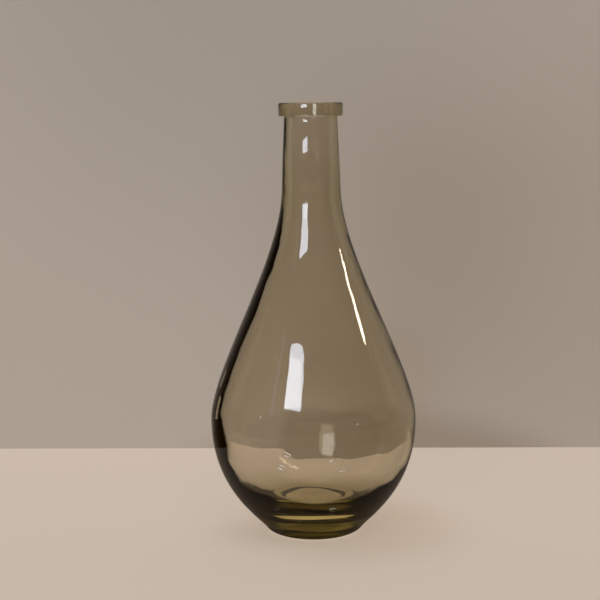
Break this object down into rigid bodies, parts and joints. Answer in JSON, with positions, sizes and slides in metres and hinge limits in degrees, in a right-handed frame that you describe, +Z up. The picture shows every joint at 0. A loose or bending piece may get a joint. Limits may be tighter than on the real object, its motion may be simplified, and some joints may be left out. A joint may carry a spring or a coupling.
{
  "type": "bottle vase",
  "caption": "Tall teardrop bottle vase in smoky tinted glass, with a flat collar round the mouth, a slim neck, a pear-shaped belly and a thick pushed-up base.",
  "frame": {"origin": "centre of the standing ring, on the surface the vase rests on", "axes": "+Z up along the vase's axis of turning, from the standing ring to the mouth"},
  "size_m": [0.173, 0.173, 0.36],
  "materials": {
    "smoky_glass": "transparent smoky taupe soda-lime glass, mould-blown and fire-polished, olive where it is thick"
  },
  "bodies": {
    "root": {"glass_vessel": "smoky_glass"}
  },
  "joints": []
}
